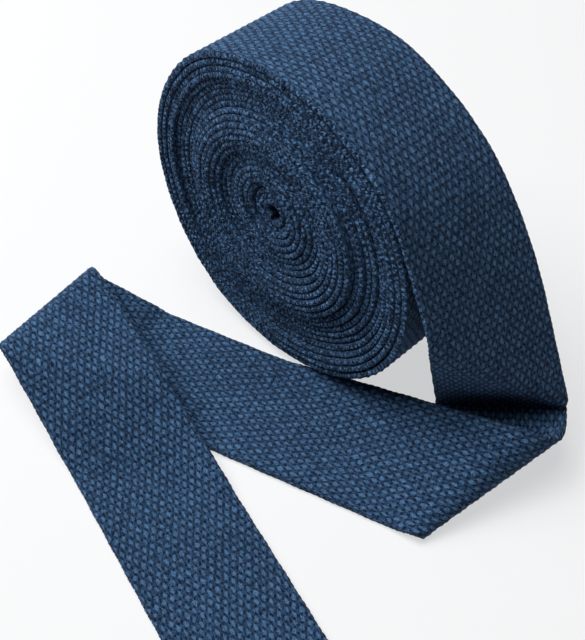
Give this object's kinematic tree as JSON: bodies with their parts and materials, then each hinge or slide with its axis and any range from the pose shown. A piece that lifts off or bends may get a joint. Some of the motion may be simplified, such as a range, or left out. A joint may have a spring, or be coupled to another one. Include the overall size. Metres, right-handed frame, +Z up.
{
  "type": "roll of webbing",
  "caption": "Wound roll of woven cotton webbing standing on its rim, with its loose end let down, folded twice and laid along the surface.",
  "frame": {"origin": "middle of the bounding box, on the surface the roll stands on", "axes": "+X to the right along the roll's face, towards the side where the loose end comes down; +Y along the roll's axis from its near face to its far face, level; +Z up"},
  "size_m": [0.1468, 0.1412, 0.1061],
  "materials": {
    "webbing": "matt navy blue cotton, plain weave"
  },
  "bodies": {
    "root": {"wound_roll": "webbing", "loose_end": "webbing"}
  },
  "joints": []
}
